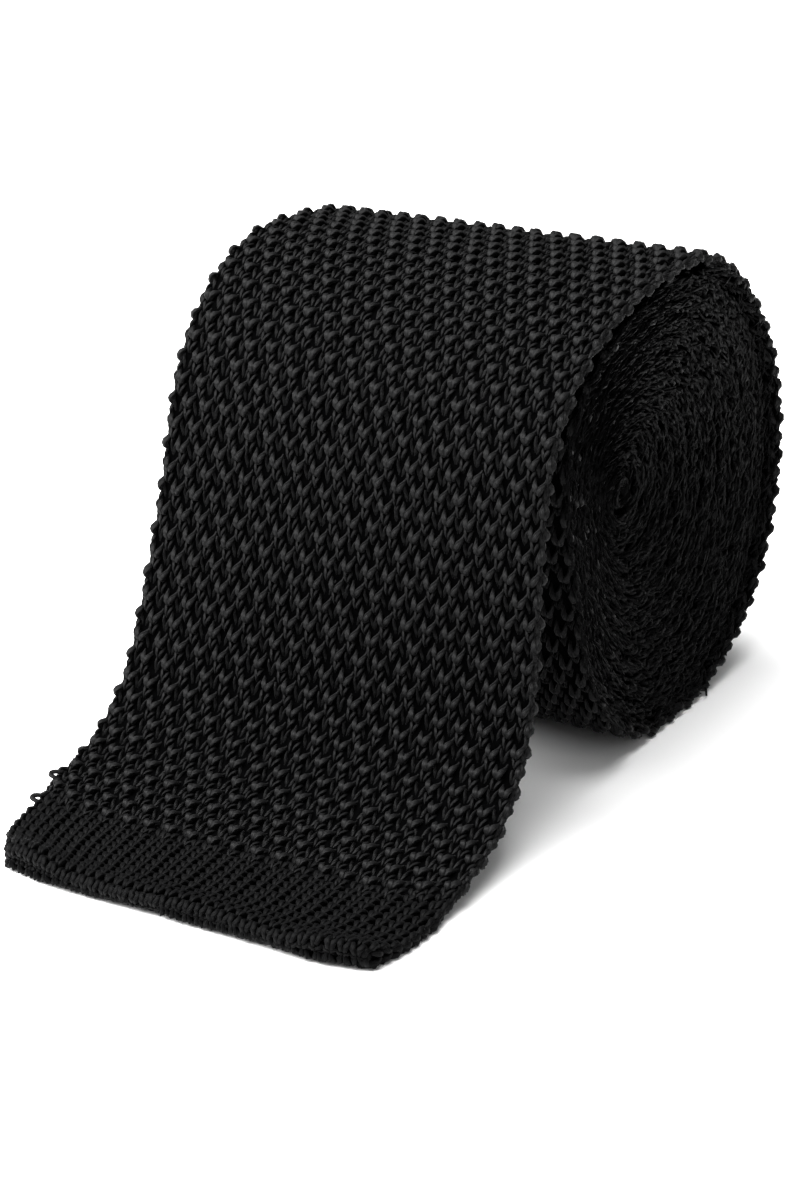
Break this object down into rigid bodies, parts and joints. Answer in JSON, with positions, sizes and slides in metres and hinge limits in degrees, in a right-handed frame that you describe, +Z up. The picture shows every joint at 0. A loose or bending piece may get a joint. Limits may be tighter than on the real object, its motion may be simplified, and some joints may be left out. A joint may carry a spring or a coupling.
{
  "type": "rolled knit tie",
  "caption": "Knitted necktie, a long flat double-layer tube rolled up from its narrow end, with the wide blade drawn out in front and laid flat.",
  "frame": {"origin": "on the table, under the middle of the whole tie's bounding box", "axes": "+Z up, +X across the tie's width, the blade's hem towards -Y and the roll towards +Y"},
  "size_m": [0.0616, 0.1182, 0.0693],
  "materials": {
    "body_knit": "tuck-stitch silk knit, near black, soft sheen on raised yarns",
    "hem_knit": "plain-knit silk, near black, soft sheen on raised yarns"
  },
  "bodies": {
    "root": {"blade_hem": "hem_knit", "knit_body": "body_knit", "tail_hem": "hem_knit"}
  },
  "joints": []
}
